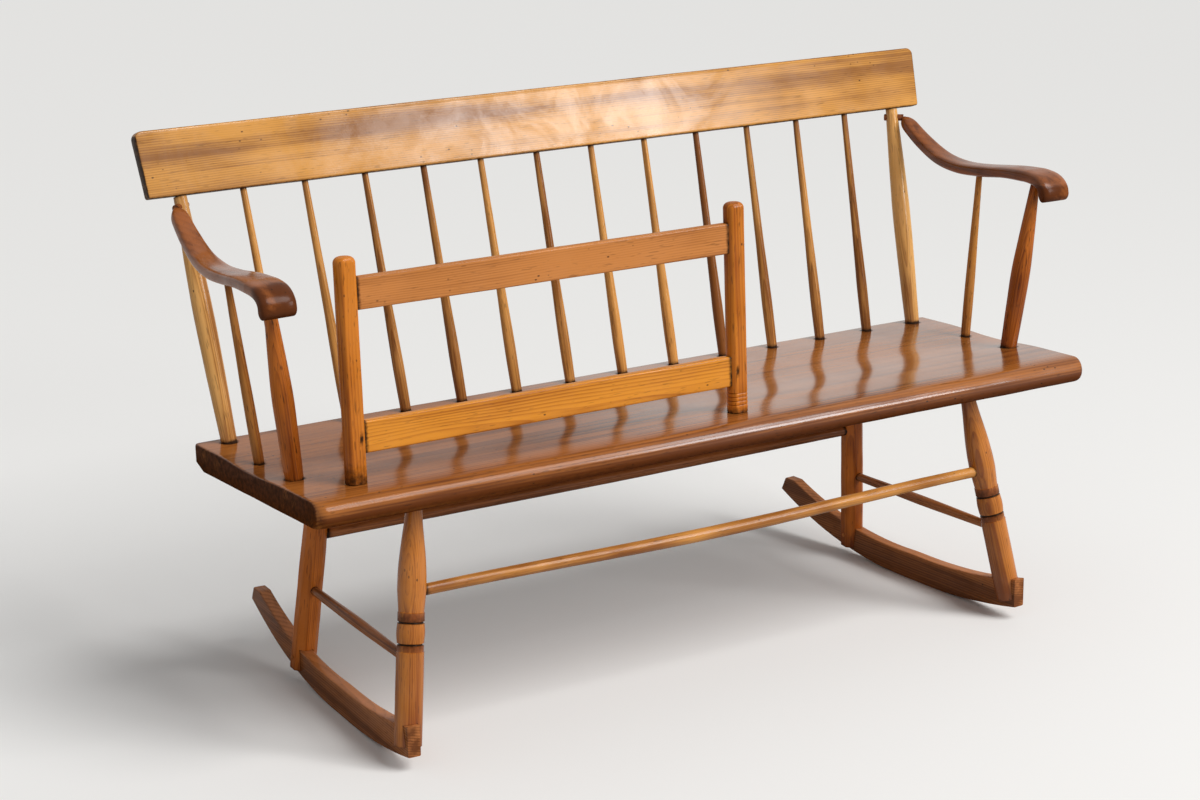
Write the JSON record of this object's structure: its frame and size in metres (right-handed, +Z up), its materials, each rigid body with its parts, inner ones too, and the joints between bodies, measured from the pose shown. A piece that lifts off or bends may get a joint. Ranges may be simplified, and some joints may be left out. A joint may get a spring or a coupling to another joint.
{
  "type": "rocking bench",
  "caption": "Long wooden plank-seat bench on curved rockers, with a stick back, broad crest rail, scroll arms, turned legs and a lift-out guard rail at one end.",
  "frame": {"origin": "on the floor, under the middle of the whole bench's bounding box", "axes": "+X along the bench towards its open seating end, +Y from the front of the seat to the back, +Z up"},
  "size_m": [1.4138, 0.591, 0.8481],
  "materials": {
    "seat_wood": "varnished, glossy, red-brown plank",
    "crest_wood": "varnished honey-coloured maple with a darker streak",
    "stick_wood": "varnished honey-brown hardwood",
    "arm_wood": "varnished dark brown, worn at the edges",
    "arm_post_wood": "varnished orange-brown hardwood",
    "leg_wood": "varnished, turned, amber brown",
    "rocker_wood": "varnished red-brown plank",
    "guard_post_wood": "varnished amber-brown hardwood",
    "guard_upper_rail_wood": "varnished pinkish brown",
    "guard_lower_rail_wood": "varnished orange pine with bold grain",
    "peg_wood": "dark end grain"
  },
  "bodies": {
    "bench": {"seat": "seat_wood", "crest_rail": "crest_wood", "back_post_left": "stick_wood", "back_post_right": "stick_wood", "spindle_01": "stick_wood", "spindle_02": "stick_wood", "spindle_03": "stick_wood", "spindle_04": "stick_wood", "spindle_05": "stick_wood", "spindle_06": "stick_wood", "spindle_07": "stick_wood", "spindle_08": "stick_wood", "spindle_09": "stick_wood", "spindle_10": "stick_wood", "spindle_11": "stick_wood", "spindle_12": "stick_wood", "arm_left": "arm_wood", "arm_right": "arm_wood", "arm_post_left": "arm_post_wood", "arm_post_right": "arm_post_wood", "arm_spindle_left": "arm_post_wood", "arm_spindle_right": "arm_post_wood", "front_leg_left": "leg_wood", "front_leg_right": "leg_wood", "rear_leg_left": "leg_wood", "rear_leg_right": "leg_wood", "rocker_left": "rocker_wood", "rocker_right": "rocker_wood", "rocker_pin_front_left": "peg_wood", "rocker_pin_front_right": "peg_wood", "rocker_pin_rear_left": "peg_wood", "rocker_pin_rear_right": "peg_wood", "side_stretcher_left": "rocker_wood", "side_stretcher_right": "rocker_wood", "front_stretcher": "stick_wood", "rear_stretcher": "stick_wood"},
    "guard": {"guard_post_left": "guard_post_wood", "guard_post_right": "guard_post_wood", "guard_rail_upper": "guard_upper_rail_wood", "guard_rail_lower": "guard_lower_rail_wood", "guard_pin_upper_left": "peg_wood", "guard_pin_upper_right": "peg_wood", "guard_pin_lower_left": "peg_wood", "guard_pin_lower_right": "peg_wood"}
  },
  "joints": [
    {"name": "guard_lift", "type": "slide", "parent": "bench", "child": "guard", "axis": [0, 0.0401, 0.9992], "range_m": [0, 0.045]}
  ]
}
